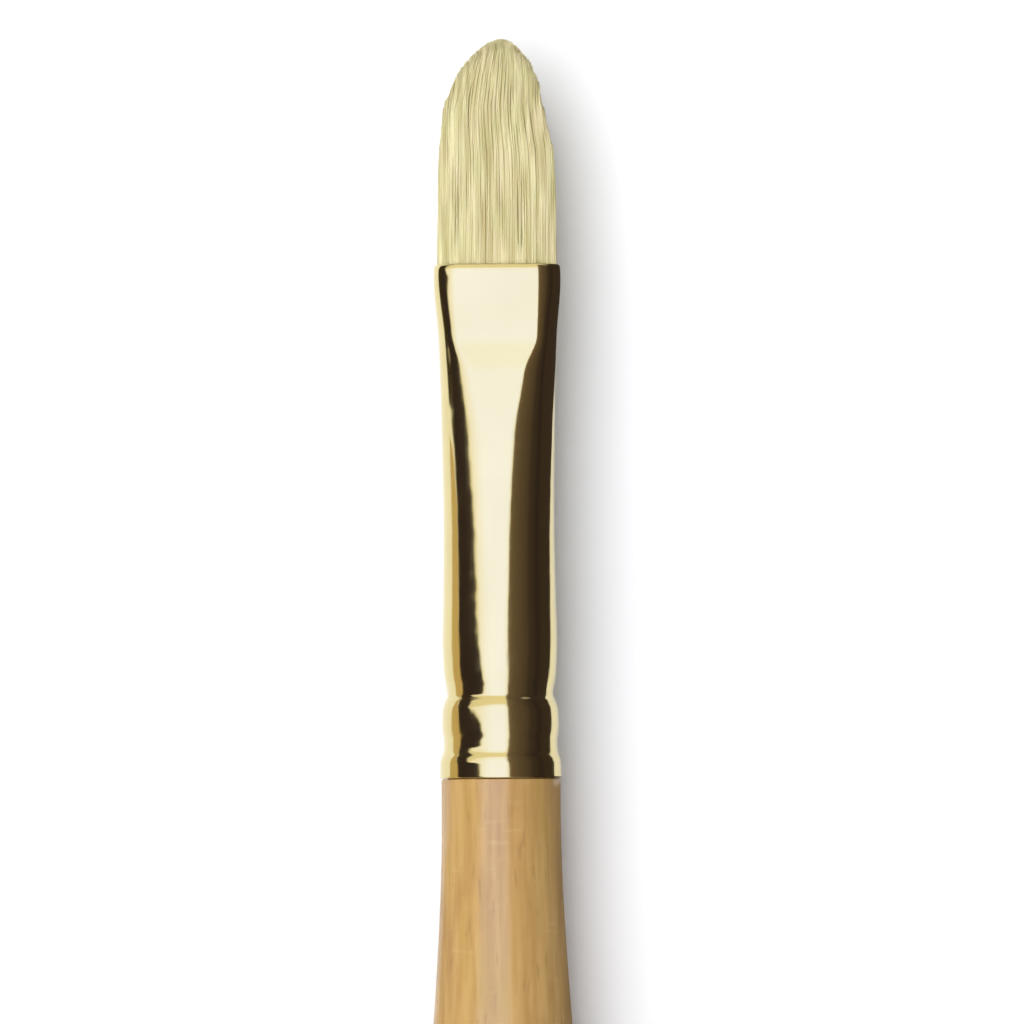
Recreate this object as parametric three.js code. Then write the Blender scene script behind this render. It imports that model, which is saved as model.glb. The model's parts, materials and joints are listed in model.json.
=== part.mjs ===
// A long-handled artist's filbert brush lying flat side up on a table.
//
// The brush's own axis is +Y, from the butt of the handle to the tip of the hair. Y = 0 is the
// back edge of the ferrule. X is the width of the flat and +Z is the upper flat face. The round
// handle rests on its belly and its butt, so the whole brush is tipped by a small rest angle.
//
// Pieces, from the back: a turned wooden handle whose tenon fills the back of the ferrule, the
// film of glue around the tenon, the ferrule, which is a thin tube pressed flat at its mouth and
// crimped twice into the tenon, the cast plug that holds the bristle roots, the thread that ties
// them, the roots, and the free bristles in three layers of locks, which bend at the mouth.

import * as THREE from "three";
import { mergeVertices } from "three/addons/utils/BufferGeometryUtils.js";

// ---------------------------------------------------------------- driving dimensions, mm

const handleLength = 235; // from the shoulder at the ferrule to the butt
const shoulderRadius = 4.54;
const neckLength = 2.5; // straight wood behind the shoulder
const bellyDistance = 36; // from the shoulder to the widest place
const bellyRadius = 6.15;
const taperShape = 0.33; // smaller makes the back of the handle thinner sooner
const buttRadius = 2.5;
const buttFlatRadius = 0.9;
const tenonLength = 17;
const tenonChamfer = 0.6;
const shoulderGap = 0.3; // between the shoulder and the ferrule's back edge

const ferruleLength = 39.2;
const ferruleWall = 0.3;
const ferruleBackRadius = 4.63;
const beadRadius = 4.46; // the raised ring between the two crimps
const backCrimpRadius = 4.33;
const frontCrimpRadius = 4.04;
const barrelRadius = 4.39; // in front of the crimps
const waistRadius = 4.24; // where the flattening begins
const mouthGirthRadius = 3.82; // radius of the round tube with the mouth's girth

const mouthWidth = 9.76;
const mouthFlatWidth = 5.88;
const landLength = 6.2; // the pressed flat next to the mouth
const landBackWidth = 9.08;
const flattenLength = 13.4; // from the round waist to the land
const flatGrowth = 2.2; // higher keeps the tube round for longer before its flats open
const widthGrowth = 2; // the same for its width

const tuftLength = 17.3; // hair in front of the mouth
const tuftDomeLength = 10.1; // the part that rounds over to the tip
const tuftSideClearance = 0.14; // hair to the inside of the mouth
const tuftTipShare = 0.38; // thickness at the tip, as a share of the root's
const tuftThinning = 1.6; // higher keeps the hair thick for longer before it thins
const tuftSideShare = 0.82; // 1 would bring the hair to a sharp edge at its two sides
const tuftCrown = 0.05; // how much shorter the outer layers are than the middle of the dome
const tuftGather = 0.14; // how much the hairs lean in towards the tip
const tuftFlexDegrees = 24; // how far the hair bends each way
const seatGap = 0.3; // free bristles to their roots
const seatSideLift = 0.42; // how much shallower the outermost bristles are seated
const seatSideCrowding = 12; // higher keeps that lift closer to the two sides
const lockColumns = 7;
const lockLayers = ["bottom", "core", "top"];
const lockGap = 0.06;
const lockPoint = 0.5; // how much narrower a lock is at its tip

const rootDepth = 12; // how deep the bristle roots reach into the ferrule
const rootClearance = 0.14;
const plugFrontDepth = 9.9;
const plugBackDepth = 15.2;
const plugClearance = 0.08;
const plugSeat = 0.3; // roots to the plug around and behind them
const rootPinch = 0.75; // how much thinner the roots are where the thread ties them
const threadDepth = 8.2; // middle of the binding
const threadDiameter = 0.46;
const threadTurns = 3;
const threadSeat = 0.12;
const threadValley = 0.55; // depth of the thread between two turns, as a share of its diameter

const glueClearance = 0.06;
const glueThickness = 0.18;
const glueEndInset = 1.0; // the film stops short of the tenon's end

const tubeSides = 32;
const handleSides = 24;

// ---------------------------------------------------------------- the ferrule's shape along Y

const mouthY = ferruleLength;
const landBackY = mouthY - landLength;
const waistY = landBackY - flattenLength;
const tenonClearance = 2 * glueClearance + glueThickness;

// Places along the tube and its girth there, as the radius of a round tube. The crimps are
// measured from the back edge.
const endLengthY = 1.1;
const backCrimpY = 2.67;
const beadY = 4.3;
const frontCrimpY = 6.33;
const crimpEndY = 8.4;
const girth = [
  [0, ferruleBackRadius],
  [endLengthY, ferruleBackRadius],
  [backCrimpY, backCrimpRadius],
  [beadY, beadRadius],
  [frontCrimpY, frontCrimpRadius],
  [crimpEndY, barrelRadius],
  [waistY, waistRadius],
  [mouthY, mouthGirthRadius],
];

// Smooth between one place and the next, level at both.
function eased(places, y) {
  const last = places.length - 1;
  if (y <= places[0][0]) return places[0][1];
  if (y >= places[last][0]) return places[last][1];
  const i = places.findIndex(([at]) => at > y) - 1;
  const [[y0, r0], [y1, r1]] = [places[i], places[i + 1]];
  return THREE.MathUtils.lerp(r0, r1, THREE.MathUtils.smoothstep(y, y0, y1));
}

const tubeRadius = (y) => eased(girth, y);

// The cross-section at y: two flats of half length `flat`, joined by half ellipses that reach
// `side` beyond them and are `thick` high. Sheet metal keeps its girth when it is pressed, so the
// thickness follows from the girth, the flat and the width.
function section(y) {
  const radius = tubeRadius(y);
  const pressed = THREE.MathUtils.clamp((y - waistY) / flattenLength, 0, 1);
  const onLand = THREE.MathUtils.clamp((y - landBackY) / landLength, 0, 1);
  const flat = (mouthFlatWidth / 2) * pressed ** flatGrowth;
  const landWidth = THREE.MathUtils.lerp(landBackWidth, mouthWidth, onLand);
  const halfWidth = THREE.MathUtils.lerp(radius, landWidth / 2, pressed ** widthGrowth);
  const side = halfWidth - flat;
  const thick = 2 * (radius - (2 * flat) / Math.PI) - side;
  return { flat, side, thick };
}

// Moves the vertices of a round body of revolution about Y so that each keeps its distance to
// the ferrule's outer surface when the tube is pressed flat.
function pressFlat(geometry) {
  const position = geometry.attributes.position;
  for (let i = 0; i < position.count; i += 1) {
    const x = position.getX(i);
    const y = position.getY(i);
    const z = position.getZ(i);
    const radius = Math.hypot(x, z);
    if (radius > 1e-6 && y > 0) {
      const { flat, side, thick } = section(y);
      const inset = tubeRadius(y) - radius;
      const across = x / radius;
      const newX = Math.sign(across) * flat + (side - inset) * across;
      position.setXYZ(i, newX, y, ((thick - inset) * z) / radius);
    }
  }
  return geometry;
}

// Every place where the tube's outline bends, with steps in between where it curves.
const flattenSteps = 5;
const stations = [
  ...[0, endLengthY, backCrimpY, beadY, frontCrimpY, crimpEndY].flatMap((y, i, all) =>
    i > 1 ? [(all[i - 1] + y) / 2, y] : [y]),
  (crimpEndY + waistY) / 2,
  ...Array.from({ length: flattenSteps }, (_, i) => waistY + (i / flattenSteps) * flattenLength),
  landBackY,
  mouthY,
];

const leastStep = 0.05;

function stationsBetween(from, to) {
  const inside = stations.filter((y) => y > from + leastStep && y < to - leastStep);
  return [from, ...inside, to];
}

// The radius, before pressing, of a surface inside the ferrule with this clearance to its wall.
const insideRadius = (y, clearance) => tubeRadius(y) - ferruleWall - clearance;

// ---------------------------------------------------------------- making solids

// A body of revolution about Y. A flat side, not a corner, is at the very top and bottom.
function turned(profile, sides) {
  const points = profile.map(([radius, y]) => new THREE.Vector2(radius, y));
  return new THREE.LatheGeometry(points, sides, Math.PI / sides);
}

// One closed surface that shares its vertices.
function closed(geometry) {
  geometry.deleteAttribute("normal");
  geometry.deleteAttribute("uv");
  const solid = mergeVertices(geometry, 1e-4);
  const index = Array.from(solid.index.array);
  const whole = [];
  for (let i = 0; i < index.length; i += 3) {
    const [a, b, c] = index.slice(i, i + 3);
    if (a !== b && b !== c && c !== a) whole.push(a, b, c);
  }
  solid.setIndex(whole);
  solid.computeVertexNormals();
  return solid;
}

function piece(name, geometry, color, roughness, metalness) {
  const material = new THREE.MeshStandardMaterial({ color, roughness, metalness });
  const mesh = new THREE.Mesh(closed(geometry), material);
  mesh.name = name;
  return mesh;
}

// A ring whose outer surface goes up these stations and whose inner surface comes back down.
function sleeve(ys, outerRadius, innerRadius) {
  const outer = ys.map((y) => [outerRadius(y), y]);
  const inner = ys.map((y) => [innerRadius(y), y]).reverse();
  return pressFlat(turned([...outer, ...inner, outer[0]], tubeSides));
}

// ---------------------------------------------------------------- handle

// The turned outline behind the shoulder: a straight neck, a swelling to the belly, and a taper
// that is round at the belly and slightly hollow towards the butt.
function handleRadius(distance) {
  if (distance <= bellyDistance) {
    const rise = THREE.MathUtils.smoothstep(distance, neckLength, bellyDistance);
    return THREE.MathUtils.lerp(shoulderRadius, bellyRadius, rise);
  }
  const share = (distance - bellyDistance) / (handleLength - buttRadius - bellyDistance);
  const bell = (s) => 1 / (1 + (s / taperShape) ** 2);
  const fall = (bell(share) - bell(1)) / (1 - bell(1));
  return THREE.MathUtils.lerp(buttRadius, bellyRadius, fall);
}

function handleOutline() {
  const buttStart = handleLength - buttRadius;
  const swellSteps = 6;
  const swelling = Array.from({ length: swellSteps + 1 }, (_, i) =>
    THREE.MathUtils.lerp(neckLength, bellyDistance, i / swellSteps));
  const taperSteps = 12;
  const crowding = 1.4; // above 1 sets the steps closer together near the belly
  const taper = Array.from({ length: taperSteps }, (_, i) => {
    const share = ((i + 1) / taperSteps) ** crowding;
    return bellyDistance + share * (buttStart - bellyDistance);
  });
  const sides = [0, ...swelling, ...taper].map((d) => [handleRadius(d), -shoulderGap - d]);
  const roundSteps = 3;
  const roundEnd = Math.acos(buttFlatRadius / buttRadius);
  const round = Array.from({ length: roundSteps }, (_, i) => {
    const angle = ((i + 1) / roundSteps) * roundEnd;
    const along = (Math.sin(angle) / Math.sin(roundEnd)) * buttRadius;
    return [buttRadius * Math.cos(angle), -shoulderGap - buttStart - along];
  });
  return [...sides, ...round];
}

const outline = handleOutline();

function handle() {
  const tenonEnd = tenonLength - tenonChamfer;
  const tenon = stationsBetween(-shoulderGap, tenonEnd)
    .map((y) => [insideRadius(y, tenonClearance), y]);
  const tipRadius = insideRadius(tenonLength, tenonClearance) - tenonChamfer;
  const buttY = outline[outline.length - 1][1];
  const profile = [
    [0, buttY],
    ...[...outline].reverse(),
    ...tenon,
    [tipRadius, tenonLength],
    [0, tenonLength],
  ];
  return piece("handle", pressFlat(turned(profile, handleSides)), 0xc9a36b, 0.35, 0);
}

// ---------------------------------------------------------------- ferrule and what is inside it

function ferrule() {
  const body = sleeve(stations, tubeRadius, (y) => tubeRadius(y) - ferruleWall);
  return piece("ferrule", body, 0xe2c877, 0.12, 1);
}

function handleGlue() {
  const ys = stationsBetween(crimpEndY, tenonLength - glueEndInset);
  const outside = (y) => insideRadius(y, glueClearance);
  const inside = (y) => insideRadius(y, glueClearance + glueThickness);
  return piece("handle_glue", sleeve(ys, outside, inside), 0xd9c9a0, 0.5, 0);
}

const rootBackY = mouthY - rootDepth;
const rootRadius = (y) => insideRadius(y, rootClearance);
const bindingHalf = (threadDiameter * threadTurns) / 2;
const bindingY = mouthY - threadDepth;
const tiedRadius = (y) => rootRadius(y) - rootPinch;

// The bristle roots fill the ferrule behind the mouth. The thread pinches them in, and they
// stay pinched down to their ends in the plug.
function bristleRoots() {
  const frontY = mouthY + flexLift - hairRootHalfThickness - seatGap;
  const shoulderY = bindingY + bindingHalf + threadSeat;
  const tied = stationsBetween(rootBackY, shoulderY).map((y) => [tiedRadius(y), y]);
  const free = stationsBetween(shoulderY + rootPinch, frontY).map((y) => [rootRadius(y), y]);
  const profile = [[0, rootBackY], ...tied, ...free, [0, frontY]];
  return piece("bristle_roots", pressFlat(turned(profile, tubeSides)), 0xc9b98c, 0.8, 0);
}

// Turns of thread laid side by side around the pinched roots, drawn tight into one band.
function bindingThread() {
  const innerRadius = (y) => tiedRadius(y) + threadSeat;
  const backY = bindingY - bindingHalf;
  const ridge = Array.from({ length: 2 * threadTurns + 1 }, (_, i) => {
    const y = backY + (i * threadDiameter) / 2;
    return [innerRadius(y) + threadDiameter * (i % 2 ? 1 : threadValley), y];
  });
  const bore = ridge.map(([, y]) => [innerRadius(y), y]).reverse();
  const ring = turned([...ridge, ...bore, ridge[0]], tubeSides);
  return piece("binding_thread", pressFlat(ring), 0xe8e2d0, 0.9, 0);
}

// The cast plug: a cup that holds the tied ends of the bristles and seals the tube behind them.
function settingPlug() {
  const frontY = mouthY - plugFrontDepth;
  const backY = mouthY - plugBackDepth;
  const floorY = rootBackY - plugSeat;
  const outer = stationsBetween(backY, frontY).map((y) => [insideRadius(y, plugClearance), y]);
  const cup = stationsBetween(floorY, frontY).map((y) => [tiedRadius(y) + plugSeat, y]).reverse();
  const profile = [[0, backY], ...outer, ...cup, [0, floorY]];
  return piece("setting_plug", pressFlat(turned(profile, tubeSides)), 0x6d4a24, 0.4, 0);
}

// ---------------------------------------------------------------- the free bristles

// The hair fills the inside of the mouth. It bends about a line across the flat, set just in
// front of the lip, so that its thickness clears the lip at the end of its travel.
const mouth = section(mouthY);
const hairInset = ferruleWall + tuftSideClearance;
const hairRootHalfWidth = mouthWidth / 2 - hairInset;
const hairRootHalfThickness = mouth.thick - hairInset;
const flexLift = hairRootHalfThickness * Math.sin(THREE.MathUtils.degToRad(tuftFlexDegrees));
const flexY = mouthY + flexLift;
const tipY = mouthY + tuftLength;

const hairShare = (y) => THREE.MathUtils.clamp((y - flexY) / (tipY - flexY), 0, 1);
const hairHalfWidth = (y) => hairRootHalfWidth * (1 - tuftGather * hairShare(y) ** 2);
const hairHalfThickness = (y) =>
  hairRootHalfThickness * (1 - (1 - tuftTipShare) * hairShare(y) ** tuftThinning);

// The half thickness at the place u across the flat, which falls to a narrow side at u = 1.
const roundedSide = (u) => Math.sqrt(1 - tuftSideShare * u ** 4);

// How far the hairs at u reach: the middle ones to the tip, the outer ones to the shoulders,
// which have leaned in by about half of what the tip has.
function reachY(u, v) {
  const domeY = tipY - tuftDomeLength;
  const across = Math.abs(u) * (1 - tuftGather / 2);
  const crown = 1 - tuftCrown * v * v;
  return domeY + tuftDomeLength * crown * Math.sqrt(1 - across * across);
}

// One lock of bristles: a block that is stretched from its seat in the mouth to its own reach,
// with its back end rounded about the line where the hair bends. The outermost hairs sit less
// deep, so that they swing clear of the narrow sides of the lip.
function bristleLock(name, uFrom, uTo, vFrom, vTo) {
  const lock = new THREE.BoxGeometry(1, 1, 1, 2, 5, 1);
  const position = lock.attributes.position;
  const middleU = (uFrom + uTo) / 2;
  const middleV = (vFrom + vTo) / 2;
  for (let i = 0; i < position.count; i += 1) {
    const along = position.getY(i) + 0.5;
    const taper = 1 - lockPoint * along ** 6;
    const u = middleU + position.getX(i) * (uTo - uFrom) * taper;
    const v = middleV + position.getZ(i) * (vTo - vFrom) * taper;
    const rootZ = hairRootHalfThickness * v * roundedSide(u);
    const seatDepth = Math.sqrt(hairRootHalfThickness ** 2 - rootZ ** 2);
    const seatY = flexY - seatDepth * (1 - seatSideLift * u ** seatSideCrowding);
    const y = THREE.MathUtils.lerp(seatY, reachY(u, v), along);
    const x = hairHalfWidth(y) * u - Math.sign(position.getX(i)) * (lockGap / 2);
    const z = hairHalfThickness(y) * v * roundedSide(u) - Math.sign(position.getZ(i)) * (lockGap / 2);
    position.setXYZ(i, x, y, z);
  }
  return piece(name, lock, 0xd6cc9c, 0.75, 0);
}

function bristleLocks() {
  const locks = [];
  const layers = lockLayers.length;
  for (let layer = 0; layer < layers; layer += 1) {
    for (let column = 0; column < lockColumns; column += 1) {
      const name = `bristles_${lockLayers[layer]}_${column + 1}`;
      const uFrom = (2 * column) / lockColumns - 1;
      const vFrom = (2 * layer) / layers - 1;
      locks.push(bristleLock(name, uFrom, uFrom + 2 / lockColumns, vFrom, vFrom + 2 / layers));
    }
  }
  return locks;
}

// ---------------------------------------------------------------- the brush at rest on a table

const parts = [
  handle(),
  handleGlue(),
  ferrule(),
  settingPlug(),
  bindingThread(),
  bristleRoots(),
  ...bristleLocks(),
];

// The handle touches the table with its butt and, in front of that, with the place that gives
// the steepest line from the butt.
function restAngle() {
  const [buttR, buttY] = outline.find(([, y]) => y <= -shoulderGap - (handleLength - buttRadius));
  const flatShare = Math.cos(Math.PI / handleSides);
  const slopes = outline
    .filter(([, y]) => y > buttY)
    .map(([radius, y]) => (flatShare * (radius - buttR)) / (y - buttY));
  return Math.atan(Math.max(...slopes));
}

const brush = new THREE.Group();
brush.rotation.x = restAngle();
brush.add(...parts);

// The origin is on the table, under the middle of the brush.
const placed = new THREE.Group();
placed.add(brush);
placed.updateMatrixWorld(true);
const extent = new THREE.Box3().setFromObject(placed, true);
const middle = extent.getCenter(new THREE.Vector3());
brush.position.set(-middle.x, -middle.y, -extent.min.z);
placed.updateMatrixWorld(true);

export default placed;
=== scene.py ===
import json
import math

import bpy
import numpy as np
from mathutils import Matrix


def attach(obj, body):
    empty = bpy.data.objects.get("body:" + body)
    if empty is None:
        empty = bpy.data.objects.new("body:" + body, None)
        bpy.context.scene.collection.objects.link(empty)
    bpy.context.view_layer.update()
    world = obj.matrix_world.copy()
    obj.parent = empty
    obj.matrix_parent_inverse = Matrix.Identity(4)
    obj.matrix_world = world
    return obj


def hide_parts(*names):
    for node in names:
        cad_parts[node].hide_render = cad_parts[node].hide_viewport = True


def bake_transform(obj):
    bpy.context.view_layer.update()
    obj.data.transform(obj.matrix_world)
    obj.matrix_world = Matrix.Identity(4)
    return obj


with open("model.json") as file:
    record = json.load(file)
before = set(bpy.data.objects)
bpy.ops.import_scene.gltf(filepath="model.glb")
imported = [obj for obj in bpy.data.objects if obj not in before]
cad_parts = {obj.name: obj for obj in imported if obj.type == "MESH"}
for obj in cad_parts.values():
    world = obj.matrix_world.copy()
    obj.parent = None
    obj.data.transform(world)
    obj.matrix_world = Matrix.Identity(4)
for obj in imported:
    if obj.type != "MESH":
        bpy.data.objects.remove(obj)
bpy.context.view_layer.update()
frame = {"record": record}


# ---- Ferrule
# A seamless tube of thin brass, gold plated and polished. Its front is pressed flat into a wide
# mouth for the hair, and two grooves are rolled into its back end, over the handle's tenon.

# Lengths are in millimetres, and along the brush they run forward from the ferrule's back edge.
MM = 0.001
FLEX_LINE = 39.8169  # where the CAD puts the hair's hinge
hinge = next(j for j in frame["record"]["behaviour"]["joints"] if j["name"] == "tuft_flex")
butt_end = next(m for m in frame["record"]["mounts"] if m["name"] == "butt_end")
forward = -np.array(butt_end["axis"]) / np.linalg.norm(butt_end["axis"])
across = np.array([1.0, 0.0, 0.0])
upward = np.cross(across, forward)
back_edge = np.array(hinge["pos_m"]) - forward * FLEX_LINE * MM


def on_brush(points):
    """Points given across, along and above the brush's own axis, placed where the brush lies."""
    points = np.asarray(points, float).reshape(-1, 3) * MM
    return back_edge + points[:, :1] * across + points[:, 1:2] * forward + points[:, 2:] * upward


def fair(at, stations, values):
    """A smooth curve through a table that never overshoots it."""
    at, x, y = (np.asarray(v, float) for v in (at, stations, values))
    width, slope = np.diff(x), np.diff(y) / np.diff(x)
    tangent = np.zeros(len(x))
    same = slope[1:] * slope[:-1] > 0
    heavy, light = 2 * width[1:] + width[:-1], width[1:] + 2 * width[:-1]
    with np.errstate(divide="ignore"):
        mean = (heavy + light) / (heavy / slope[:-1] + light / slope[1:])
    tangent[1:-1][same] = mean[same]
    tangent[0], tangent[-1] = slope[0], slope[-1]
    i = np.clip(np.searchsorted(x, at) - 1, 0, len(x) - 2)
    t = np.clip((at - x[i]) / width[i], 0, 1)
    return (y[i] * (1 + 2 * t) * (1 - t) ** 2 + y[i + 1] * t * t * (3 - 2 * t)
            + width[i] * t * (1 - t) * (tangent[i] * (1 - t) - tangent[i + 1] * t))


FERRULE_LENGTH = 39.2
WALL = 0.3
ALMOST_NONE = 1e-6  # what a round section has for a flat, so that nothing is divided by zero
# Along the ferrule: the radius of a round tube with the same girth, half its width, and half the
# width of its two pressed flats.
FERRULE_SHAPE = np.array([
    (0.0, 4.63, 4.63, 0), (1.1, 4.63, 4.63, 0), (1.53, 4.56, 4.56, 0), (1.98, 4.39, 4.39, 0),
    (2.44, 4.33, 4.33, 0), (2.9, 4.33, 4.33, 0), (3.59, 4.43, 4.43, 0), (4.3, 4.46, 4.46, 0),
    (5.3, 4.40, 4.40, 0), (5.88, 4.23, 4.23, 0), (6.33, 4.04, 4.04, 0), (6.9, 4.10, 4.10, 0),
    (7.48, 4.21, 4.21, 0), (8.6, 4.33, 4.33, 0), (10.4, 4.375, 4.38, 0.02),
    (13.6, 4.30, 4.31, 0.11), (19.6, 4.158, 4.235, 0.351), (23.5, 4.082, 4.27, 0.572),
    (25.4, 4.044, 4.30, 0.725), (27.4, 4.006, 4.33, 0.99), (29.3, 3.97, 4.37, 1.41),
    (31.28, 3.93, 4.43, 1.86), (32.3, 3.91, 4.465, 2.38), (33.04, 3.895, 4.50, 2.77),
    (33.8, 3.885, 4.54, 2.9), (38.2, 3.853, 4.85, 2.935), (38.8, 3.822, 4.835, 2.93),
    (39.2, 3.745, 4.78, 2.92),
])


def tube_section(y):
    """Half width, half thickness and half flat of the ferrule's outside at these places."""
    girth, half_width, flat = (fair(y, FERRULE_SHAPE[:, 0], FERRULE_SHAPE[:, c]) for c in (1, 2, 3))
    side = half_width - flat
    return half_width, 2 * (girth - 2 * flat / math.pi) - side, flat


def section_points(y, inset, turns):
    """A ring inside the ferrule's outline at y, at these shares of a turn from its top middle."""
    half_width, thick, flat = tube_section(y)
    side = half_width - flat
    flat_share = flat / (2 * flat + math.pi / 2 * (side + thick) / 2) / 2 + ALMOST_NONE
    turn = np.asarray(turns) % 1.0
    mirror = np.where(turn > 0.5, -1.0, 1.0)
    half = np.where(turn > 0.5, 1 - turn, turn)  # 0 at the top middle, 0.5 at the bottom middle
    arc = np.clip((half - flat_share) / (0.5 - 2 * flat_share), 0, 1)
    on_flat = np.clip(np.minimum(half, 0.5 - half) / flat_share, 0, 1)
    x = flat * on_flat + (side - inset) * np.sin(math.pi * arc)
    z = (thick - inset) * np.cos(math.pi * arc)
    return mirror * x, z


def loft(rings, closed=False, capped=False):
    """Quads between rings of equal count. Closed joins the last ring to the first."""
    count = len(rings[0])
    points = np.concatenate(rings)
    spans = len(rings) if closed else len(rings) - 1
    faces = []
    for r in range(spans):
        a, b = r * count, (r + 1) % len(rings) * count
        faces += [(a + i, a + (i + 1) % count, b + (i + 1) % count, b + i) for i in range(count)]
    if capped:
        faces.append(tuple(reversed(range(count))))
        faces.append(tuple(range(len(points) - count, len(points))))
    return points, faces


def ring_at(y, inset, turns):
    x, z = section_points(y, inset, turns)
    return np.stack([x, np.full_like(x, y), z], 1)


def make_piece(name, shape, material):
    points, faces = shape
    mesh = bpy.data.meshes.new(name)
    mesh.from_pydata(on_brush(points).tolist(), [], faces)
    mesh.materials.append(material)
    mesh.polygons.foreach_set("use_smooth", [True] * len(faces))
    mesh.update()
    piece = bpy.data.objects.new(name, mesh)
    bpy.context.scene.collection.objects.link(piece)
    return piece


def tint(red, green, blue):
    """A paint-shop colour, 0 to 255, as the shader wants it."""
    return tuple((c / 255 / 12.92 if c <= 10 else ((c / 255 + 0.055) / 1.055) ** 2.4)
                 for c in (red, green, blue)) + (1.0,)


def add_node(tree, kind, inputs=None, **settings):
    made = tree.nodes.new(kind if kind.startswith("NodeGroup") else "ShaderNode" + kind)
    for key, value in settings.items():
        setattr(made, key, value)
    for key, value in (inputs or {}).items():
        if isinstance(value, bpy.types.NodeSocket):
            tree.links.new(value, made.inputs[key])
        else:
            made.inputs[key].default_value = value
    return made


def colour_steps(tree, value, steps):
    """A colour ramp from (place, colour) steps."""
    ramp = add_node(tree, "ValToRGB", {"Fac": value})
    bar = ramp.color_ramp.elements
    while len(bar) < len(steps):
        bar.new(0.5)
    for element, (place, colour) in zip(bar, steps):
        element.position, element.color = place, colour
    return ramp.outputs["Color"]


def new_material(name, **settings):
    """An empty material with its Principled shader, whose plain numbers are set by name."""
    material = bpy.data.materials.new(name)
    material.use_nodes = True
    tree = material.node_tree
    shader = tree.nodes["Principled BSDF"]
    for key, value in settings.items():
        shader.inputs[key.replace("_", " ")].default_value = value
    return material, tree, shader


def new_group(name, inputs, outputs):
    group = bpy.data.node_groups.new(name, "ShaderNodeTree")
    for label, value in inputs.items():
        socket = group.interface.new_socket(label, in_out="INPUT", socket_type="NodeSocketFloat")
        socket.default_value = value
    for label in outputs:
        group.interface.new_socket(label, in_out="OUTPUT", socket_type="NodeSocketFloat")
    return group, add_node(group, "NodeGroupInput"), add_node(group, "NodeGroupOutput")


def use_group(tree, group, **inputs):
    made = tree.nodes.new("ShaderNodeGroup")
    made.node_tree = group
    for key, value in inputs.items():
        made.inputs[key.replace("_", " ")].default_value = value
    return made


# Fine lines that run the length of the brush: the draw marks of the tube, the grain of the wood
# and the streaks of the hair. Per Mm is how many cross one millimetre.
long_lines, lines_in, lines_out = new_group(
    "long_lines", {"Per Mm": 2.0, "Stretch": 30.0, "Detail": 3.0, "Warp": 0.2}, ["Lines", "Soft"])
place = add_node(long_lines, "TexCoord").outputs["Object"]
per_metre = add_node(long_lines, "Math", {0: lines_in.outputs["Per Mm"], 1: 1000.0},
                     operation="MULTIPLY").outputs[0]
shrink = add_node(long_lines, "Math", {0: 1.0, 1: lines_in.outputs["Stretch"]},
                  operation="DIVIDE").outputs[0]
squeeze = add_node(long_lines, "CombineXYZ", {"X": 1.0, "Y": shrink, "Z": 1.0}).outputs[0]
stretched = add_node(long_lines, "VectorMath", {0: place, 1: squeeze}, operation="MULTIPLY")
for label, detail in (("Lines", lines_in.outputs["Detail"]), ("Soft", 0.0)):
    streaks = add_node(long_lines, "TexNoise", {
        "Vector": stretched.outputs[0], "Scale": per_metre, "Detail": detail,
        "Distortion": lines_in.outputs["Warp"]})
    long_lines.links.new(streaks.outputs["Fac"], lines_out.inputs[label])

# Soft cloudy unevenness, such as handling marks and the pooling of a finish.
clouding, cloud_in, cloud_out = new_group("clouding", {"Per Mm": 0.3, "Detail": 3.0}, ["Cloud"])
cloud_place = add_node(clouding, "TexCoord").outputs["Object"]
cloud_scale = add_node(clouding, "Math", {0: cloud_in.outputs["Per Mm"], 1: 1000.0},
                       operation="MULTIPLY").outputs[0]
cloud = add_node(clouding, "TexNoise", {
    "Vector": cloud_place, "Scale": cloud_scale, "Detail": cloud_in.outputs["Detail"]})
clouding.links.new(cloud.outputs["Fac"], cloud_out.inputs["Cloud"])

gold_plate, gold_tree, gold = new_material("polished_gold_plate", Metallic=1.0)
draw_marks = use_group(gold_tree, long_lines, Per_Mm=9.0, Stretch=60.0, Detail=2.0)
polish = use_group(gold_tree, clouding, Per_Mm=0.22, Detail=2.0)
gold_tree.links.new(colour_steps(gold_tree, polish.outputs["Cloud"], [
    (0.3, tint(218, 203, 147)), (0.7, tint(222, 207, 151))]), gold.inputs["Base Color"])
gold_rough = add_node(gold_tree, "MapRange", {
    "Value": draw_marks.outputs["Lines"], "From Min": 0.35, "From Max": 0.75,
    "To Min": 0.09, "To Max": 0.15})
# Finger marks and faint scuffs, where the polish has gone a little dull.
finger_marks = use_group(gold_tree, clouding, Per_Mm=0.9, Detail=3.0)
dulled = add_node(gold_tree, "MapRange", {
    "Value": finger_marks.outputs["Cloud"], "From Min": 0.58, "From Max": 0.72,
    "To Min": 0.0, "To Max": 0.04})
worn_rough = add_node(gold_tree, "Math", {0: gold_rough.outputs[0], 1: dulled.outputs[0]},
                      operation="ADD")
gold_tree.links.new(worn_rough.outputs[0], gold.inputs["Roughness"])


def relief(tree, height, strength, distance, **under):
    """The normal of fine relief, over another normal if one is given as Normal."""
    return add_node(tree, "Bump", {"Height": height, "Strength": strength, "Distance": distance,
                                   **under}).outputs[0]


hand_polish = use_group(gold_tree, clouding, Per_Mm=0.5, Detail=1.0)
ripple = relief(gold_tree, hand_polish.outputs["Cloud"], 0.18, 0.00012)
gold_tree.links.new(relief(gold_tree, draw_marks.outputs["Lines"], 0.05, 0.00001, Normal=ripple),
                    gold.inputs["Normal"])

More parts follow.
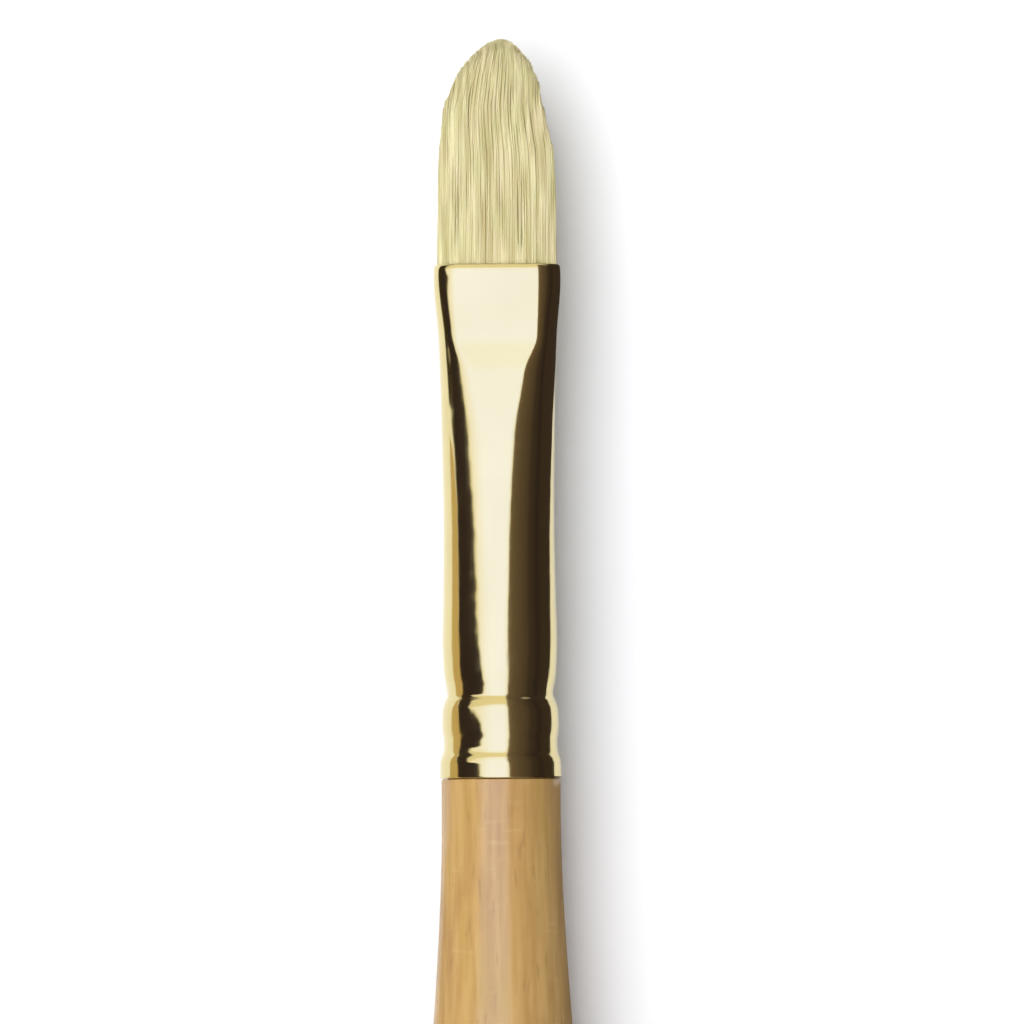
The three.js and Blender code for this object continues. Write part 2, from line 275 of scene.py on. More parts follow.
around = np.arange(192) / 192
LIP, HEM = WALL / 2, 0.05  # how far the mouth's lip and the back edge round over
GROOVES_END = 9.0  # the grooved back needs closer rows than the rest
outside_rows = np.concatenate([np.linspace(HEM, GROOVES_END, 120),
                               np.linspace(GROOVES_END, FERRULE_LENGTH - LIP, 130)[1:]])
ferrule_rings = [ring_at(y, 0.0, around) for y in outside_rows]
for bend in np.linspace(0, math.pi, 9)[1:-1]:
    ferrule_rings.append(ring_at(FERRULE_LENGTH, LIP * (1 - math.cos(bend)), around)
                         - (0, LIP * (1 - math.sin(bend)), 0))
ferrule_rings += [ring_at(y, WALL, around) for y in np.linspace(FERRULE_LENGTH - LIP, HEM, 90)]
for bend in np.linspace(0, math.pi, 7)[1:-1]:
    ferrule_rings.append(ring_at(HEM, WALL / 2 * (1 + math.cos(bend)), around)
                         - (0, HEM * math.sin(bend), 0))
ferrule = make_piece("ferrule_tube", loft(ferrule_rings, closed=True), gold_plate)
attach(ferrule, "brush")
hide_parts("ferrule")


# ---- Bristles
# Hog bristles, each its own tapered hair with a fine flagged tip, bundled so that the tips make
# a filbert's oval dome. Their roots run back into the ferrule, where they are tied and set.

HAIR_LENGTH = 17.3  # in front of the lip
HAIR_SPACING = 0.13
HAIR_RADIUS = 0.10
# The outline of the dry hair: distance from the lip, its left edge and its right edge.
HAIR_OUTLINE = np.array([
    (0.0, -4.56, 4.52), (3.4, -4.52, 4.60), (5.8, -4.44, 4.50), (7.7, -4.36, 4.42),
    (8.9, -4.32, 4.36), (9.5, -4.27, 4.17), (10.1, -4.18, 4.02), (10.7, -4.13, 3.88),
    (11.3, -4.07, 3.79), (11.9, -3.99, 3.70), (12.55, -3.86, 3.44), (13.0, -3.50, 3.35),
    (13.77, -3.30, 3.27), (14.38, -2.98, 3.10), (14.99, -2.60, 2.74), (15.6, -2.08, 2.48),
    (15.91, -1.84, 2.26), (16.21, -1.52, 1.92), (16.52, -1.20, 1.68), (16.82, -0.74, 1.40),
    (17.05, -0.32, 1.10), (17.22, 0.08, 0.74), (17.3, 0.30, 0.46),
])
HALF_WIDTH, HALF_THICK = 4.5, 1.50
GATHER, TIP_THICK, THINNING = 0.10, 0.36, 1.6
SIDE_SHARE, SIDE_ROUND = 0.82, 3.0
CURVE_IN = 0.36  # how far the hairs bend in along the dome: 0 keeps them straight
SHORTEST = 7.5  # no hair ends nearer the lip than this
FACE_SHORTER = 0.03  # the share by which the hairs on the two faces fall short
# How much the hairs differ: in place, as a share of the space between two of them, in how evenly
# their tips end, in lean and in sway, all in millimetres, and in girth.
STRAY_ACROSS, STRAY_UP = 0.125, 0.06
OUTERMOST_ACROSS, OUTERMOST_UP = 0.995, 0.98  # no hair strays past these shares of the bundle
UNEVEN_TIPS, LEAN, SWAY = 0.05, 0.10, 0.05
SWAY_WAVES, GIRTHS = (0.6, 2.0), (0.8, 1.15)
# Tone from dark, 0, to pale, 1: by clump, by single hair, and for the odd pale or dark hair.
CLUMPS, CLUMP_TONE, OWN_TONE = 48, 0.09, 0.06
ODD_SHARE, PALE_HAIR, DARK_HAIR = 0.12, 0.26, -0.18

hair_random = np.random.default_rng(6)
columns = int(2 * HALF_WIDTH / HAIR_SPACING)
layers = int(2 * HALF_THICK / HAIR_SPACING)
u_grid, v_grid = np.meshgrid((np.arange(columns) + 0.5) / columns * 2 - 1,
                             (np.arange(layers) + 0.5) / layers * 2 - 1)
u_hair = u_grid.ravel() + hair_random.normal(0, 2 * STRAY_ACROSS / columns, u_grid.size)
v_hair = v_grid.ravel() + hair_random.normal(0, 2 * STRAY_UP / layers, v_grid.size)
u_hair = np.clip(u_hair, -OUTERMOST_ACROSS, OUTERMOST_ACROSS)
v_hair = np.clip(v_hair, -OUTERMOST_UP, OUTERMOST_UP)
hairs = len(u_hair)

reach_steps = np.linspace(0, HAIR_LENGTH, 900)
left_edge = fair(reach_steps, HAIR_OUTLINE[:, 0], HAIR_OUTLINE[:, 1])
right_edge = fair(reach_steps, HAIR_OUTLINE[:, 0], HAIR_OUTLINE[:, 2])
gathered = HALF_WIDTH * (1 - GATHER * (reach_steps / HAIR_LENGTH) ** 2)
dome_half = np.minimum((right_edge - left_edge) / 2, gathered)
spread = gathered * (dome_half / gathered) ** CURVE_IN
middle = (left_edge + right_edge) / 2
straight_x = middle + u_hair[:, None] * spread
inside = (straight_x >= left_edge) & (straight_x <= right_edge)
reach = np.where(inside, reach_steps, 0).max(1)
reach = np.maximum(reach, SHORTEST) * (1 - FACE_SHORTER * v_hair ** 2)
reach -= np.abs(hair_random.normal(0, UNEVEN_TIPS, hairs))
lean = hair_random.normal(0, LEAN, hairs)
sway_size = hair_random.normal(0, SWAY, (2, hairs))
sway_waves = hair_random.uniform(*SWAY_WAVES, (2, hairs))
sway_start = hair_random.uniform(0, 2 * math.pi, (2, hairs))
girth_share = hair_random.uniform(*GIRTHS, hairs)
clump = np.interp(u_hair, np.linspace(-1, 1, CLUMPS), hair_random.normal(0, 1, CLUMPS))
hair_tone = 0.5 + CLUMP_TONE * clump + hair_random.normal(0, OWN_TONE, hairs)
is_pale, is_dark = (hair_random.random(hairs) < ODD_SHARE for _ in range(2))
hair_tone = np.clip(hair_tone + np.select([is_pale, is_dark], [PALE_HAIR, DARK_HAIR]), 0, 1)
narrow_sides = np.sqrt(1 - SIDE_SHARE * np.abs(u_hair) ** SIDE_ROUND)
FREE_BY, CENTRED_BY = 2.0, 4.0  # where the hairs start to sway and to follow the middle line
SWAY_UP = 0.3  # the sway up and down, as a share of the sway sideways


def hair_path(distance):
    """Where every hair is at a distance from the lip, which may be one number or one per hair."""
    distance = np.broadcast_to(np.asarray(distance, float), (hairs,))
    along = np.clip(distance / HAIR_LENGTH, 0, 1)
    free = np.clip(distance / FREE_BY, 0, 1)
    half_width = np.interp(distance, reach_steps, spread)
    middle_line = np.interp(distance, reach_steps, middle) * np.clip(distance / CENTRED_BY, 0, 1)
    half_thick = HALF_THICK * (1 - (1 - TIP_THICK) * along ** THINNING)
    sway = free * sway_size * np.sin(sway_waves * 2 * math.pi * along + sway_start)
    keep_in = 1 - np.abs(u_hair) ** 6  # the outermost hairs don't stray
    x = middle_line + half_width * u_hair + keep_in * (lean * along ** 2 + sway[0])
    z = half_thick * v_hair * narrow_sides + sway[1] * SWAY_UP
    return np.stack([x, FERRULE_LENGTH + distance, z], 1)


ROOT_BACK, TIED_UP_TO, LET_GO = 27.2, 31.8, 2.5  # the last is how soon the pinch ends
ROOT_PINCH, HAIR_TO_WALL = 0.75, 0.07


def root_path(y):
    """Where every hair is inside the ferrule, as the thread pinches it in."""
    half_width, thick, _ = (float(v[0]) for v in tube_section(np.array([y])))
    pinch = ROOT_PINCH * (1 - np.clip((y - TIED_UP_TO) / LET_GO, 0, 1)) + WALL + HAIR_TO_WALL
    ease = np.clip((y - TIED_UP_TO) / (FERRULE_LENGTH - TIED_UP_TO), 0, 1)
    ease = ease * ease * (3 - 2 * ease)
    wide = (half_width - pinch) * (1 - ease) + HALF_WIDTH * ease
    deep = (thick - pinch) * (1 - ease) + HALF_THICK * ease
    return np.stack([wide * u_hair, np.full(hairs, y), deep * v_hair * narrow_sides], 1)


def joined(shapes):
    """Several shapes, each its points and faces, as one."""
    points, faces, count = [], [], 0
    for own_points, own_faces in shapes:
        points.append(own_points)
        faces += [tuple(count + i for i in face) for face in own_faces]
        count += len(own_points)
    return np.concatenate(points), faces


def strands(chosen, paths, radii, sides):
    """Closed tapered tubes for the chosen hairs, through these paths, ring by ring."""
    turn = np.arange(sides) / sides * 2 * math.pi
    ring = np.stack([np.cos(turn), np.zeros(sides), np.sin(turn)], 1)
    return joined(loft([path[h] + ring * radius[h] for path, radius in zip(paths, radii)],
                       capped=True) for h in chosen)


def mix_colours(tree, under, over, share=1.0, way="MIX"):
    """Two colours, mixed by a share or multiplied together."""
    return add_node(tree, "Mix", {"Factor": share, 6: under, 7: over}, data_type="RGBA",
                    blend_type=way).outputs[2]


hog_hair, hair_tree, hair_shader = new_material(
    "hog_hair", Roughness=0.55, Specular_IOR_Level=0.2, Subsurface_Weight=0.15,
    Subsurface_Radius=(1.0, 0.85, 0.6), Subsurface_Scale=0.0002)
tone = add_node(hair_tree, "Attribute", attribute_name="hair_tone").outputs["Fac"]
length_streaks = use_group(hair_tree, long_lines, Per_Mm=2.6, Stretch=11.0, Detail=1.0)
tone_mix = add_node(hair_tree, "Mix", {"Factor": 0.6, "A": tone,
                                       "B": length_streaks.outputs["Soft"]}).outputs["Result"]
hair_colour = colour_steps(hair_tree, tone_mix, [
    (0.28, tint(186, 173, 125)), (0.5, tint(202, 192, 147)), (0.70, tint(224, 214, 172))])
# Hog hair runs a little pinker in one patch and a little greener in the next.
hair_patches = use_group(hair_tree, clouding, Per_Mm=0.45, Detail=1.0)
patch_tint = colour_steps(hair_tree, hair_patches.outputs["Cloud"], [
    (0.38, tint(255, 251, 250)), (0.62, tint(252, 254, 246))])
hair_tree.links.new(mix_colours(hair_tree, hair_colour, patch_tint, way="MULTIPLY"),
                    hair_shader.inputs["Base Color"])


def mark_tone(piece, chosen, points_per_hair):
    shade = piece.data.attributes.new("hair_tone", "FLOAT", "POINT")
    values = np.repeat(hair_tone[chosen], points_per_hair).astype(np.float32)
    shade.data.foreach_set("value", values)


FREE_RINGS, FREE_SIDES = 15, 6
IN_MOUTH = 1.0  # how far inside the lip the free length starts
TAPER, FLAG_TAPER, FLAG_FROM = 0.22, 0.45, 0.88  # along the hair, and over its flagged tip
free_paths, free_radii = [], []
for share in np.linspace(0, 1, FREE_RINGS) ** 0.9:
    free_paths.append(hair_path(share * (reach + IN_MOUTH) - IN_MOUTH))
    flagged = np.clip((share - FLAG_FROM) / (1 - FLAG_FROM), 0, 1)
    free_radii.append(HAIR_RADIUS * girth_share * (1 - TAPER * share - FLAG_TAPER * flagged))
LOCKS_ACROSS, LAYER_NAMES = 7, ("bottom", "core", "top")
column_of = ((u_hair + 1) / 2 * LOCKS_ACROSS).astype(int)
layer_of = ((v_hair + 1) / 2 * len(LAYER_NAMES)).astype(int)
for layer, layer_name in enumerate(LAYER_NAMES):
    for column in range(LOCKS_ACROSS):
        chosen = np.flatnonzero((column_of == column) & (layer_of == layer))
        lock_name = f"bristles_{layer_name}_{column + 1}"
        lock = make_piece("hair_" + lock_name, strands(chosen, free_paths, free_radii, FREE_SIDES),
                          hog_hair)
        mark_tone(lock, chosen, FREE_RINGS * FREE_SIDES)
        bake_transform(lock)
        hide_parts(lock_name)

ROOT_SIDES, ROOT_GIRTH, OVERLAP = 5, 0.82, 0.2  # the overlap is with the free lengths
root_rows = (ROOT_BACK, 29.5, TIED_UP_TO, 34.0, 36.2, FERRULE_LENGTH - IN_MOUTH + OVERLAP)
root_radii = [HAIR_RADIUS * ROOT_GIRTH * girth_share] * len(root_rows)
every_hair = np.arange(hairs)
roots = make_piece("hair_roots", strands(every_hair, [root_path(y) for y in root_rows],
                                         root_radii, ROOT_SIDES), hog_hair)
mark_tone(roots, every_hair, len(root_rows) * ROOT_SIDES)
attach(roots, "brush")
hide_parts("bristle_roots")


# ---- Binding thread
# Two-ply waxed cotton, wound three times round the bristle roots and drawn tight, so that the
# bundle holds its shape until it is set in the ferrule.

THREAD_BACK, THREAD_TURNS, THREAD_PITCH = 30.31, 3.2, 0.46
PLY_RADIUS, PLY_OFFSET, TWISTS_PER_TURN = 0.125, 0.1, 9
THREAD_PROUD = 0.2  # how far the thread's middle stands out from the pinched hair
waxed_cotton, cotton_tree, cotton = new_material("waxed_cotton", Roughness=0.8, Sheen_Weight=0.3)
fibres = use_group(cotton_tree, clouding, Per_Mm=9.0, Detail=3.0)
cotton_tree.links.new(colour_steps(cotton_tree, fibres.outputs["Cloud"], [
    (0.3, tint(205, 196, 172)), (0.7, tint(238, 231, 212))]), cotton.inputs["Base Color"])
cotton_tree.links.new(relief(cotton_tree, fibres.outputs["Cloud"], 0.4, 0.00003),
                      cotton.inputs["Normal"])

wind = np.linspace(0, THREAD_TURNS, 420)
thread_y = THREAD_BACK + THREAD_PITCH * (0.5 + wind)
pinched = WALL + HAIR_TO_WALL + ROOT_PINCH
thread_line = np.concatenate([ring_at(y, pinched - THREAD_PROUD, [w])
                              for y, w in zip(thread_y, wind)])
outward = thread_line * (1, 0, 1)
outward /= np.linalg.norm(outward, axis=1)[:, None]


def turned(angle, out):
    """Directions at an angle from straight out of the brush towards its tip."""
    return np.cos(angle)[:, None] * out + np.sin(angle)[:, None] * (0, 1, 0)


ply_turn = np.arange(8) / 8 * 2 * math.pi
plies = []
for ply in (0, 1):
    twist = (wind * TWISTS_PER_TURN * 2 + ply) * math.pi
    centre = thread_line + PLY_OFFSET * turned(twist, outward)
    plies.append(loft([c + PLY_RADIUS * turned(ply_turn, out) for c, out in zip(centre, outward)],
                      capped=True))
thread = make_piece("tied_thread", joined(plies), waxed_cotton)
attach(thread, "brush")
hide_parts("binding_thread")


# ---- Setting plug
# Epoxy poured into the ferrule behind the hair. It soaks into the tied roots, climbs a little up
# the metal and the hair as it sets, and leaves a shallow dish behind.

PLUG_FRONT, PLUG_BACK, PLUG_TO_WALL = 29.3, 24.0, 0.04
DISH_DEPTH, CLIMB_HEIGHT = 0.5, 0.35
BEHIND_ROOTS, ROUND_ROOTS = 0.1, 0.12  # the resin between the hair and the rest of the plug
cast_resin, resin_tree, resin = new_material(
    "cast_resin", Roughness=0.25, IOR=1.55, Coat_Weight=0.3, Coat_Roughness=0.1)
resin_cloud = use_group(resin_tree, clouding, Per_Mm=0.8, Detail=4.0)
resin_tree.links.new(colour_steps(resin_tree, resin_cloud.outputs["Cloud"], [
    (0.3, tint(88, 58, 26)), (0.7, tint(134, 92, 46))]), resin.inputs["Base Color"])
resin_tree.links.new(relief(resin_tree, resin_cloud.outputs["Cloud"], 0.3, 0.0001),
                     resin.inputs["Normal"])

plug_around = np.arange(96) / 96
outer_inset = WALL + PLUG_TO_WALL
cup_inset, cup_back = pinched - ROUND_ROOTS, ROOT_BACK - BEHIND_ROOTS
plug_rings = [ring_at(PLUG_BACK, outer_inset, plug_around) * (s, 1, s)
              + (0, DISH_DEPTH * (1 - s * s), 0) for s in np.linspace(0.03, 1, 14)]
plug_rings += [ring_at(y, outer_inset, plug_around)
               for y in np.linspace(PLUG_BACK, PLUG_FRONT, 28)[1:]]
plug_rings += [ring_at(PLUG_FRONT, outer_inset + (cup_inset - outer_inset) * s, plug_around)
               - (0, CLIMB_HEIGHT * math.sin(math.pi * s), 0) for s in np.linspace(0, 1, 12)[1:]]
plug_rings += [ring_at(y, cup_inset, plug_around)
               for y in np.linspace(PLUG_FRONT, cup_back, 12)[1:]]
plug_rings += [ring_at(cup_back, cup_inset, plug_around) * (s, 1, s)
               for s in np.linspace(1, 0.03, 10)[1:]]
plug = make_piece("resin_plug", loft(plug_rings, capped=True), cast_resin)
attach(plug, "brush")
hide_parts("setting_plug")


# ---- Handle
# Turned hardwood with a light clear lacquer: a straight neck, a long belly and a thin tail that
# ends in a small rounded butt. A tenon in front of the shoulder is glued into the ferrule.

# Along the handle, distances run back from its shoulder.
HANDLE_LENGTH, SHOULDER, NECK, BELLY_AT, BELLY = 235.24, 4.54, 2.5, 36.24, 6.15
TAPER_SHAPE, BUTT, BUTT_FACE, BUTT_CROWN = 0.33, 2.5, 0.9, 0.02
SHOULDER_GAP, TENON_LENGTH, TENON_CHAMFER, TENON_TO_WALL = 0.06, 17.0, 0.6, 0.3
TENON_ROOT = 0.02  # the tenon's first ring stands this far in front of the shoulder
EDGE = 0.12  # the turned shoulder's softened corner
CLOSE_ROWS = 60  # how far back the rows lie closer together


def handle_radius(distance):
    rise = np.clip((distance - NECK) / (BELLY_AT - NECK), 0, 1)
    swelling = SHOULDER + (BELLY - SHOULDER) * rise * rise * (3 - 2 * rise)
    share = np.clip((distance - BELLY_AT) / (HANDLE_LENGTH - BUTT - BELLY_AT), 0, 1)
    last = 1 / (1 + (1 / TAPER_SHAPE) ** 2)
    fall = (1 / (1 + (share / TAPER_SHAPE) ** 2) - last) / (1 - last)
    return np.where(distance <= BELLY_AT, swelling, BUTT + (BELLY - BUTT) * fall)


handle_around = np.arange(144) / 144
circle = np.stack([np.sin(handle_around * 2 * math.pi), np.zeros(144),
                   np.cos(handle_around * 2 * math.pi)], 1)


def turned_ring(distance, radius):
    return circle * radius - (0, SHOULDER_GAP + distance, 0)


butt_from = HANDLE_LENGTH - BUTT
butt_turn = math.acos(BUTT_FACE / BUTT)
handle_rings = [turned_ring(HANDLE_LENGTH - BUTT_CROWN * share ** 2, BUTT_FACE * share)
                for share in np.linspace(0.04, 1, 8)]
handle_rings += [turned_ring(butt_from + BUTT * math.sin(turn) / math.sin(butt_turn),
                             BUTT * math.cos(turn)) for turn in np.linspace(butt_turn, 0, 16)[1:]]
handle_rows = np.concatenate([np.linspace(butt_from, CLOSE_ROWS, 170)[1:],
                              np.linspace(CLOSE_ROWS, EDGE, 90)[1:]])
handle_rings += [turned_ring(distance, float(handle_radius(distance))) for distance in handle_rows]
handle_rings += [turned_ring(EDGE * (1 - math.sin(turn)), SHOULDER - EDGE * (1 - math.cos(turn)))
                 for turn in np.linspace(0, math.pi / 2, 6)[1:]]
for y in np.linspace(TENON_ROOT - SHOULDER_GAP, TENON_LENGTH - TENON_CHAMFER, 60):
    half_width, thick, _ = (float(v[0]) for v in tube_section(np.array([max(y, 0.0)])))
    tenon = np.array([half_width, 0, thick]) - (WALL + TENON_TO_WALL) * np.array([1, 0, 1])
    handle_rings.append(circle * tenon + (0, y, 0))
for share in np.linspace(1, 0.04, 8):
    handle_rings.append(circle * (tenon - TENON_CHAMFER) * share + (0, TENON_LENGTH, 0))

lacquered_wood, wood_tree, wood = new_material(
    "lacquered_wood", Roughness=0.5, Specular_IOR_Level=0.2, Coat_Weight=0.45,
    Coat_Roughness=0.16, Coat_IOR=1.85)
grain = use_group(wood_tree, long_lines, Per_Mm=1.5, Stretch=14.0, Detail=4.0, Warp=0.3)
figure = use_group(wood_tree, long_lines, Per_Mm=0.30, Stretch=3.5, Detail=3.0, Warp=0.8)
grain_colour = colour_steps(wood_tree, grain.outputs["Lines"], [
    (0.34, tint(177, 140, 82)), (0.5, tint(184, 148, 89)), (0.68, tint(192, 157, 98))])
figure_colour = colour_steps(wood_tree, figure.outputs["Lines"], [
    (0.36, tint(244, 236, 232)), (0.52, tint(255, 252, 246)), (0.68, tint(250, 252, 226))])
wood_base = mix_colours(wood_tree, grain_colour, figure_colour, way="MULTIPLY")
# Short darker dashes, the ends of the rays that the lathe cut through.
flecks = use_group(wood_tree, long_lines, Per_Mm=3.2, Stretch=7.0, Detail=0.0, Warp=0.0)
fleck_mask = add_node(wood_tree, "MapRange", {
    "Value": flecks.outputs["Soft"], "From Min": 0.70, "From Max": 0.80, "To Min": 0.0,
    "To Max": 0.45})
flecked = mix_colours(wood_tree, wood_base, tint(150, 112, 66), fleck_mask.outputs[0])
# Faint lighter bars across the grain: a painted highlight in the base colour, where the wood's curl
# would catch the light.
painted_curl_glint = use_group(wood_tree, long_lines, Per_Mm=0.4, Stretch=0.22, Detail=0.0, Warp=0.0)
painted_glint_mask = add_node(wood_tree, "MapRange", {
    "Value": painted_curl_glint.outputs["Soft"], "From Min": 0.72, "From Max": 0.86, "To Min": 0.0,
    "To Max": 0.10})
with_painted_glint = mix_colours(wood_tree, flecked, tint(228, 200, 142), painted_glint_mask.outputs[0])
wood_tree.links.new(with_painted_glint, wood.inputs["Base Color"])
wood_tree.links.new(relief(wood_tree, grain.outputs["Lines"], 0.10, 0.00003),
                    wood.inputs["Normal"])

handle = make_piece("turned_handle", loft(handle_rings, capped=True), lacquered_wood)
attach(handle, "brush")
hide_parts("handle")


# ---- Glue
# A thin sleeve of carpenter's glue between the tenon and the ferrule, squeezed up against the
# grooves when they were rolled in. It dries yellowish and slightly clear.

GLUE_BACK, GLUE_FRONT, GLUE_THICK, GLUE_TO_WALL = 8.4, 16.0, 0.18, 0.06
dried_glue, glue_tree, glue_shader = new_material("dried_glue", Roughness=0.4, IOR=1.5)
glue_cloud = use_group(glue_tree, clouding, Per_Mm=1.2, Detail=3.0)
glue_tree.links.new(colour_steps(glue_tree, glue_cloud.outputs["Cloud"], [
    (0.3, tint(198, 180, 134)), (0.7, tint(226, 212, 172))]), glue_shader.inputs["Base Color"])
glue_tree.links.new(relief(glue_tree, glue_cloud.outputs["Cloud"], 0.3, 0.00005),
                    glue_shader.inputs["Normal"])
glue_around = np.arange(96) / 96
glue_rows = np.linspace(GLUE_BACK, GLUE_FRONT, 40)
# The squeezed-out front edge wanders in two waves, from (how far, how many).
glue_wave = sum(far * np.sin(glue_around * 2 * math.pi * waves)
                for far, waves in ((0.3, 3), (0.15, 7)))


def glue_ring(y, inset):
    ring = ring_at(y, inset, glue_around)
    ring[:, 1] += glue_wave * (y - GLUE_BACK) / (GLUE_FRONT - GLUE_BACK)
    return ring


glue_inset = WALL + GLUE_TO_WALL
glue_rings = ([glue_ring(y, glue_inset) for y in glue_rows]
              + [glue_ring(y, glue_inset + GLUE_THICK) for y in reversed(glue_rows)])
glue = make_piece("glue_sleeve", loft(glue_rings, closed=True), dried_glue)
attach(glue, "brush")
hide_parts("handle_glue")


# ---- Table and light
# A plain white table. A large soft light hangs above it, to the left. Glowing sheets overhead,
# walls and cards, seen only as reflections, give the metal its bright, warm and dark strips.

white_table, table_tree, table_shader = new_material("white_table", Roughness=0.9,
                                                     Specular_IOR_Level=0.1)
table_cloud = use_group(table_tree, clouding, Per_Mm=0.01, Detail=2.0)
table_tree.links.new(colour_steps(table_tree, table_cloud.outputs["Cloud"], [
    (0.3, tint(238, 238, 238)), (0.7, tint(240, 240, 240))]), table_shader.inputs["Base Color"])


def flat_sheet(name, corners, material):
    mesh = bpy.data.meshes.new(name)
    mesh.from_pydata(corners, [], [tuple(range(len(corners)))])
    mesh.materials.append(material)
    sheet = bpy.data.objects.new(name, mesh)
    bpy.context.scene.collection.objects.link(sheet)
    return sheet


TABLE_HALF = 3.0
flat_sheet("table_top", [(-TABLE_HALF, -TABLE_HALF, 0), (TABLE_HALF, -TABLE_HALF, 0),
                         (TABLE_HALF, TABLE_HALF, 0), (-TABLE_HALF, TABLE_HALF, 0)], white_table)


def seen_only_in_gloss(sheet):
    sheet.visible_camera = sheet.visible_diffuse = sheet.visible_shadow = False
    sheet.visible_transmission = sheet.visible_volume_scatter = False


def glowing(name, steps, warm_end=None):
    """A glow whose colour runs across the room, from (distance across, colour) steps. Its warm
    end is where along the room it starts to warm, where it has warmed, and by how much."""
    material = bpy.data.materials.new(name)
    material.use_nodes = True
    tree = material.node_tree
    tree.nodes.clear()
    first, last = steps[0][0], steps[-1][0]
    where = add_node(tree, "SeparateXYZ", {"Vector": add_node(tree, "TexCoord").outputs["Object"]})
    share = add_node(tree, "MapRange", {
        "Value": where.outputs["X"], "From Min": first, "From Max": last})
    colour = colour_steps(tree, share.outputs[0], [
        ((x - first) / (last - first), (*paint, 1)) for x, paint in steps])
    if warm_end:
        start, end, warmth = warm_end
        warmed = add_node(tree, "MapRange", {
            "Value": where.outputs["Y"], "From Min": middle_y + start, "From Max": middle_y + end})
        colour = mix_colours(tree, colour, (*warmth, 1), warmed.outputs[0], way="MULTIPLY")
    glow = add_node(tree, "Emission", {"Color": colour, "Strength": 1.0})
    add_node(tree, "OutputMaterial", {"Surface": glow.outputs[0]})
    return material


LIGHT_HEIGHT = 0.6
middle_y = float(on_brush([(0, 20, 0)])[0][1])


def overhead(name, corners, steps, lift=0.0, warm_end=None):
    """A glowing sheet at the height of the light, from corners given from the ferrule's middle."""
    sheet = flat_sheet(name, [(x, middle_y + y, LIGHT_HEIGHT + lift) for x, y in corners],
                       glowing(name + "_glow", steps, warm_end))
    seen_only_in_gloss(sheet)


WHITE_GLOW, CREAM_GLOW, WARM_GLOW = (1.29, 1.42, 2.25), (1.23, 1.26, 1.55), (0.98, 0.92, 0.78)
overhead("softbox_face", [(-0.36, -0.5), (-0.46, -0.05), (-0.56, 0.05), (-0.72, 0.13),
                          (-1.05, 0.22), (-1.25, 0.40), (0.13, 0.40), (0.13, 0.22),
                          (0.155, 0.0), (0.20, -0.5)],
         [(-0.55, CREAM_GLOW), (-0.2, WHITE_GLOW), (0.09, WHITE_GLOW), (0.17, CREAM_GLOW)],
         warm_end=(0.17, 0.27, (0.985, 0.97, 0.845)))
overhead("softbox_rim", [(-0.40, -0.55), (-0.50, -0.05), (-0.61, 0.03), (-0.79, 0.11),
                         (-1.20, 0.22), (-1.60, 0.5), (-1.7, 1.4), (0.19, 1.4), (0.15, 0.24),
                         (0.17, 0.0), (0.215, -0.55)],
         [(-1.7, WARM_GLOW), (0.2, (1.08, 1.02, 0.84))], lift=0.002)
overhead("right_wall", [(0.13, -1.47), (2.5, -1.47), (2.5, 1.47), (0.13, 1.47)],
         [(0.13, (0.19, 0.135, 0.10)), (0.45, (0.125, 0.092, 0.07)), (1.2, (0.055, 0.040, 0.037)),
          (2.5, (0.048, 0.035, 0.034))],
         lift=0.004)
# Pale walls beyond the tip and the butt, which the metal mirrors only when it is seen end on.
END_WALL, END_WALL_HEIGHT = 1.5, 1.8
PALE_WALL, WALL_CORNER = (0.95, 0.93, 0.90), (0.20, 0.18, 0.16)
for name, away in (("front_wall", END_WALL), ("back_wall", -END_WALL)):
    wall = flat_sheet(name, [(-END_WALL, middle_y + away, 0.02), (END_WALL, middle_y + away, 0.02),
                             (END_WALL, middle_y + away, END_WALL_HEIGHT),
                             (-END_WALL, middle_y + away, END_WALL_HEIGHT)],
                      glowing(name + "_glow", [(-END_WALL, WALL_CORNER), (-0.5, PALE_WALL),
                                               (0.5, PALE_WALL), (END_WALL, WALL_CORNER)]))
    seen_only_in_gloss(wall)
# The cards on the table, as corners across and along it. They reach in close beside the handle
# and the mouth, and stand off beside the rest of the ferrule.
MOUTH_Y, WAIST_Y, BACK_Y = (float(on_brush([(0, y, 0)])[0][1]) for y in (32.0, 8.0, 0.0))
BACK_CARD_END, FRONT_CARD_START = 0.1165, 0.119  # along the room, with bare table between
CARD_END, CARD_LIFT = 3.0, 0.0004
for name, corners, colour in (
        ("left_back_card", [(-0.011, -CARD_END), (-0.011, BACK_Y - 0.006), (-0.024, BACK_Y),
                            (-0.024, BACK_CARD_END), (-CARD_END, BACK_CARD_END),
                            (-CARD_END, -CARD_END)],
         (0.70, 0.53, 0.275)),
        ("left_front_card", [(-0.028, FRONT_CARD_START), (-0.028, CARD_END),
                             (-CARD_END, CARD_END), (-CARD_END, FRONT_CARD_START)],
         (0.05, 0.036, 0.02)),
        ("right_card", [(0.0065, -CARD_END), (CARD_END, -CARD_END), (CARD_END, CARD_END),
                        (0.0062, CARD_END), (0.0062, MOUTH_Y), (0.010, MOUTH_Y - 0.004),
                        (0.018, WAIST_Y), (0.018, BACK_Y), (0.0065, BACK_Y)],
         (0.050, 0.036, 0.034))):
    near_edge = corners[0][0]
    card = flat_sheet(name, [(x, y, CARD_LIFT) for x, y in corners],
                      glowing(name + "_glow", [(near_edge, colour), (near_edge + 1, colour)]))
    seen_only_in_gloss(card)


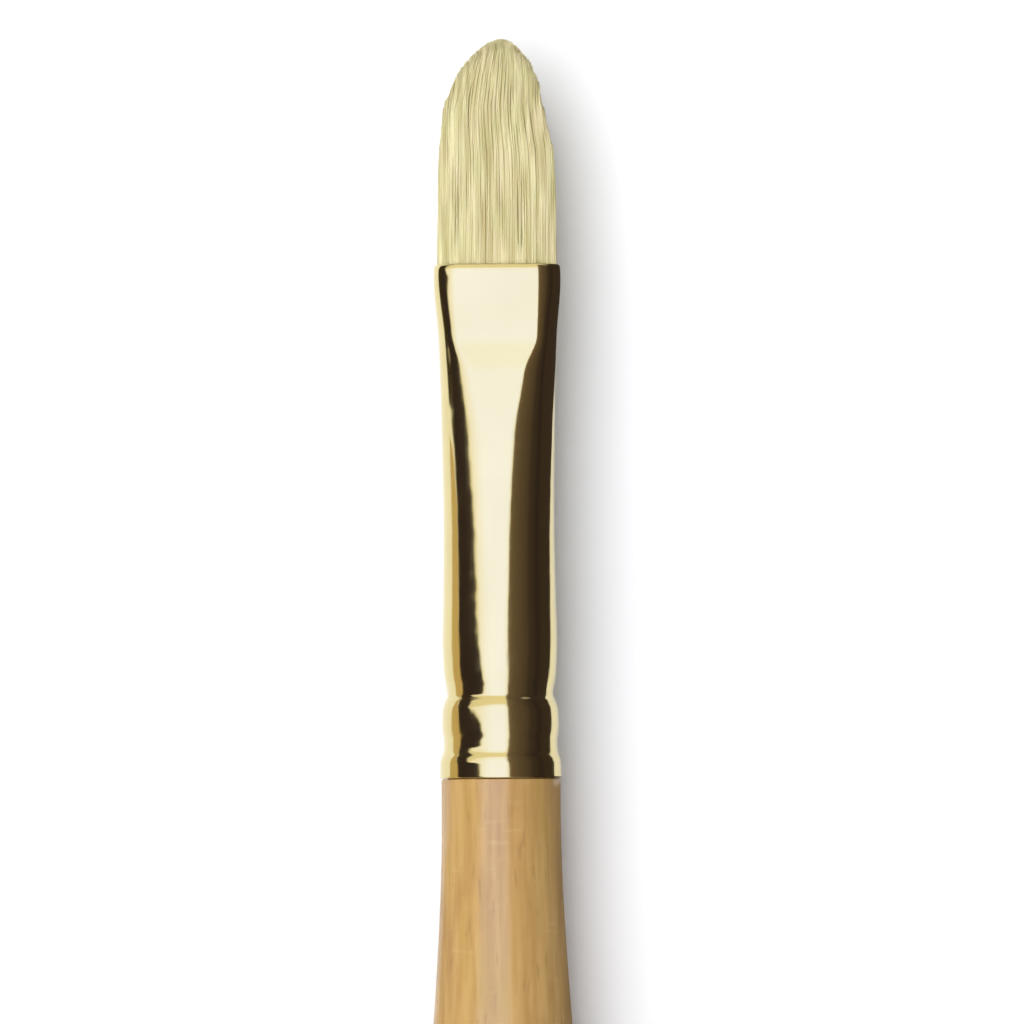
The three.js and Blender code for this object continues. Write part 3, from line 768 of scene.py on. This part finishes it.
# The soft light itself. It points straight down, and the metal mirrors the sheets instead of it.
LIGHT_ACROSS, LIGHT_ALONG = -0.245, middle_y + 0.19
lamp = bpy.data.lights.new("softbox", "AREA")
lamp.shape, lamp.size, lamp.size_y = "RECTANGLE", 0.6, 0.9
lamp.energy, lamp.color = 7.1, (0.985, 0.995, 1.02)
softbox = bpy.data.objects.new("softbox", lamp)
softbox.location = (LIGHT_ACROSS, LIGHT_ALONG, LIGHT_HEIGHT)
softbox.visible_glossy = False
bpy.context.scene.collection.objects.link(softbox)

# The room is pale and lifts the shadows, but a mirrored ray that misses the sheets finds it dark.
world = bpy.data.worlds.new("studio_room")
world.use_nodes = True
room_tree = world.node_tree
room_tree.nodes["Background"].inputs["Color"].default_value = (0.295, 0.296, 0.305, 1)
mirrored = add_node(room_tree, "Background", {"Color": (0.038, 0.027, 0.029, 1)})
gloss_or_not = add_node(room_tree, "MixShader", {
    0: add_node(room_tree, "LightPath").outputs["Is Glossy Ray"],
    1: room_tree.nodes["Background"].outputs[0], 2: mirrored.outputs[0]})
room_tree.links.new(gloss_or_not.outputs[0], room_tree.nodes["World Output"].inputs["Surface"])
bpy.context.scene.world = world
bpy.context.scene.view_settings.view_transform = "Standard"

# The camera hangs almost straight above the hair, the ferrule and the front of the handle.
SHOWN_WIDTH, LENS, SENSOR, AIM_HEIGHT = 0.0781, 400.0, 36.0, 0.0075
LEAN_BACK = math.radians(3.0)  # it hangs a little towards the handle
TURN = math.radians(-0.456)
camera_lens = bpy.data.cameras.new("camera")
camera_lens.lens, camera_lens.sensor_width = LENS, SENSOR
camera = bpy.data.objects.new("camera", camera_lens)
shown_middle = on_brush([(1.0, 20.3, 0)])[0]
reach_back = SHOWN_WIDTH * LENS / SENSOR
camera.location = (shown_middle[0], shown_middle[1] - reach_back * math.sin(LEAN_BACK),
                   AIM_HEIGHT + reach_back * math.cos(LEAN_BACK))
camera.rotation_mode = "ZYX"
camera.rotation_euler = (LEAN_BACK, 0, 0)
camera.rotation_euler.rotate_axis("Z", TURN)
bpy.context.scene.collection.objects.link(camera)
bpy.context.scene.camera = camera

bpy.context.view_layer.update()
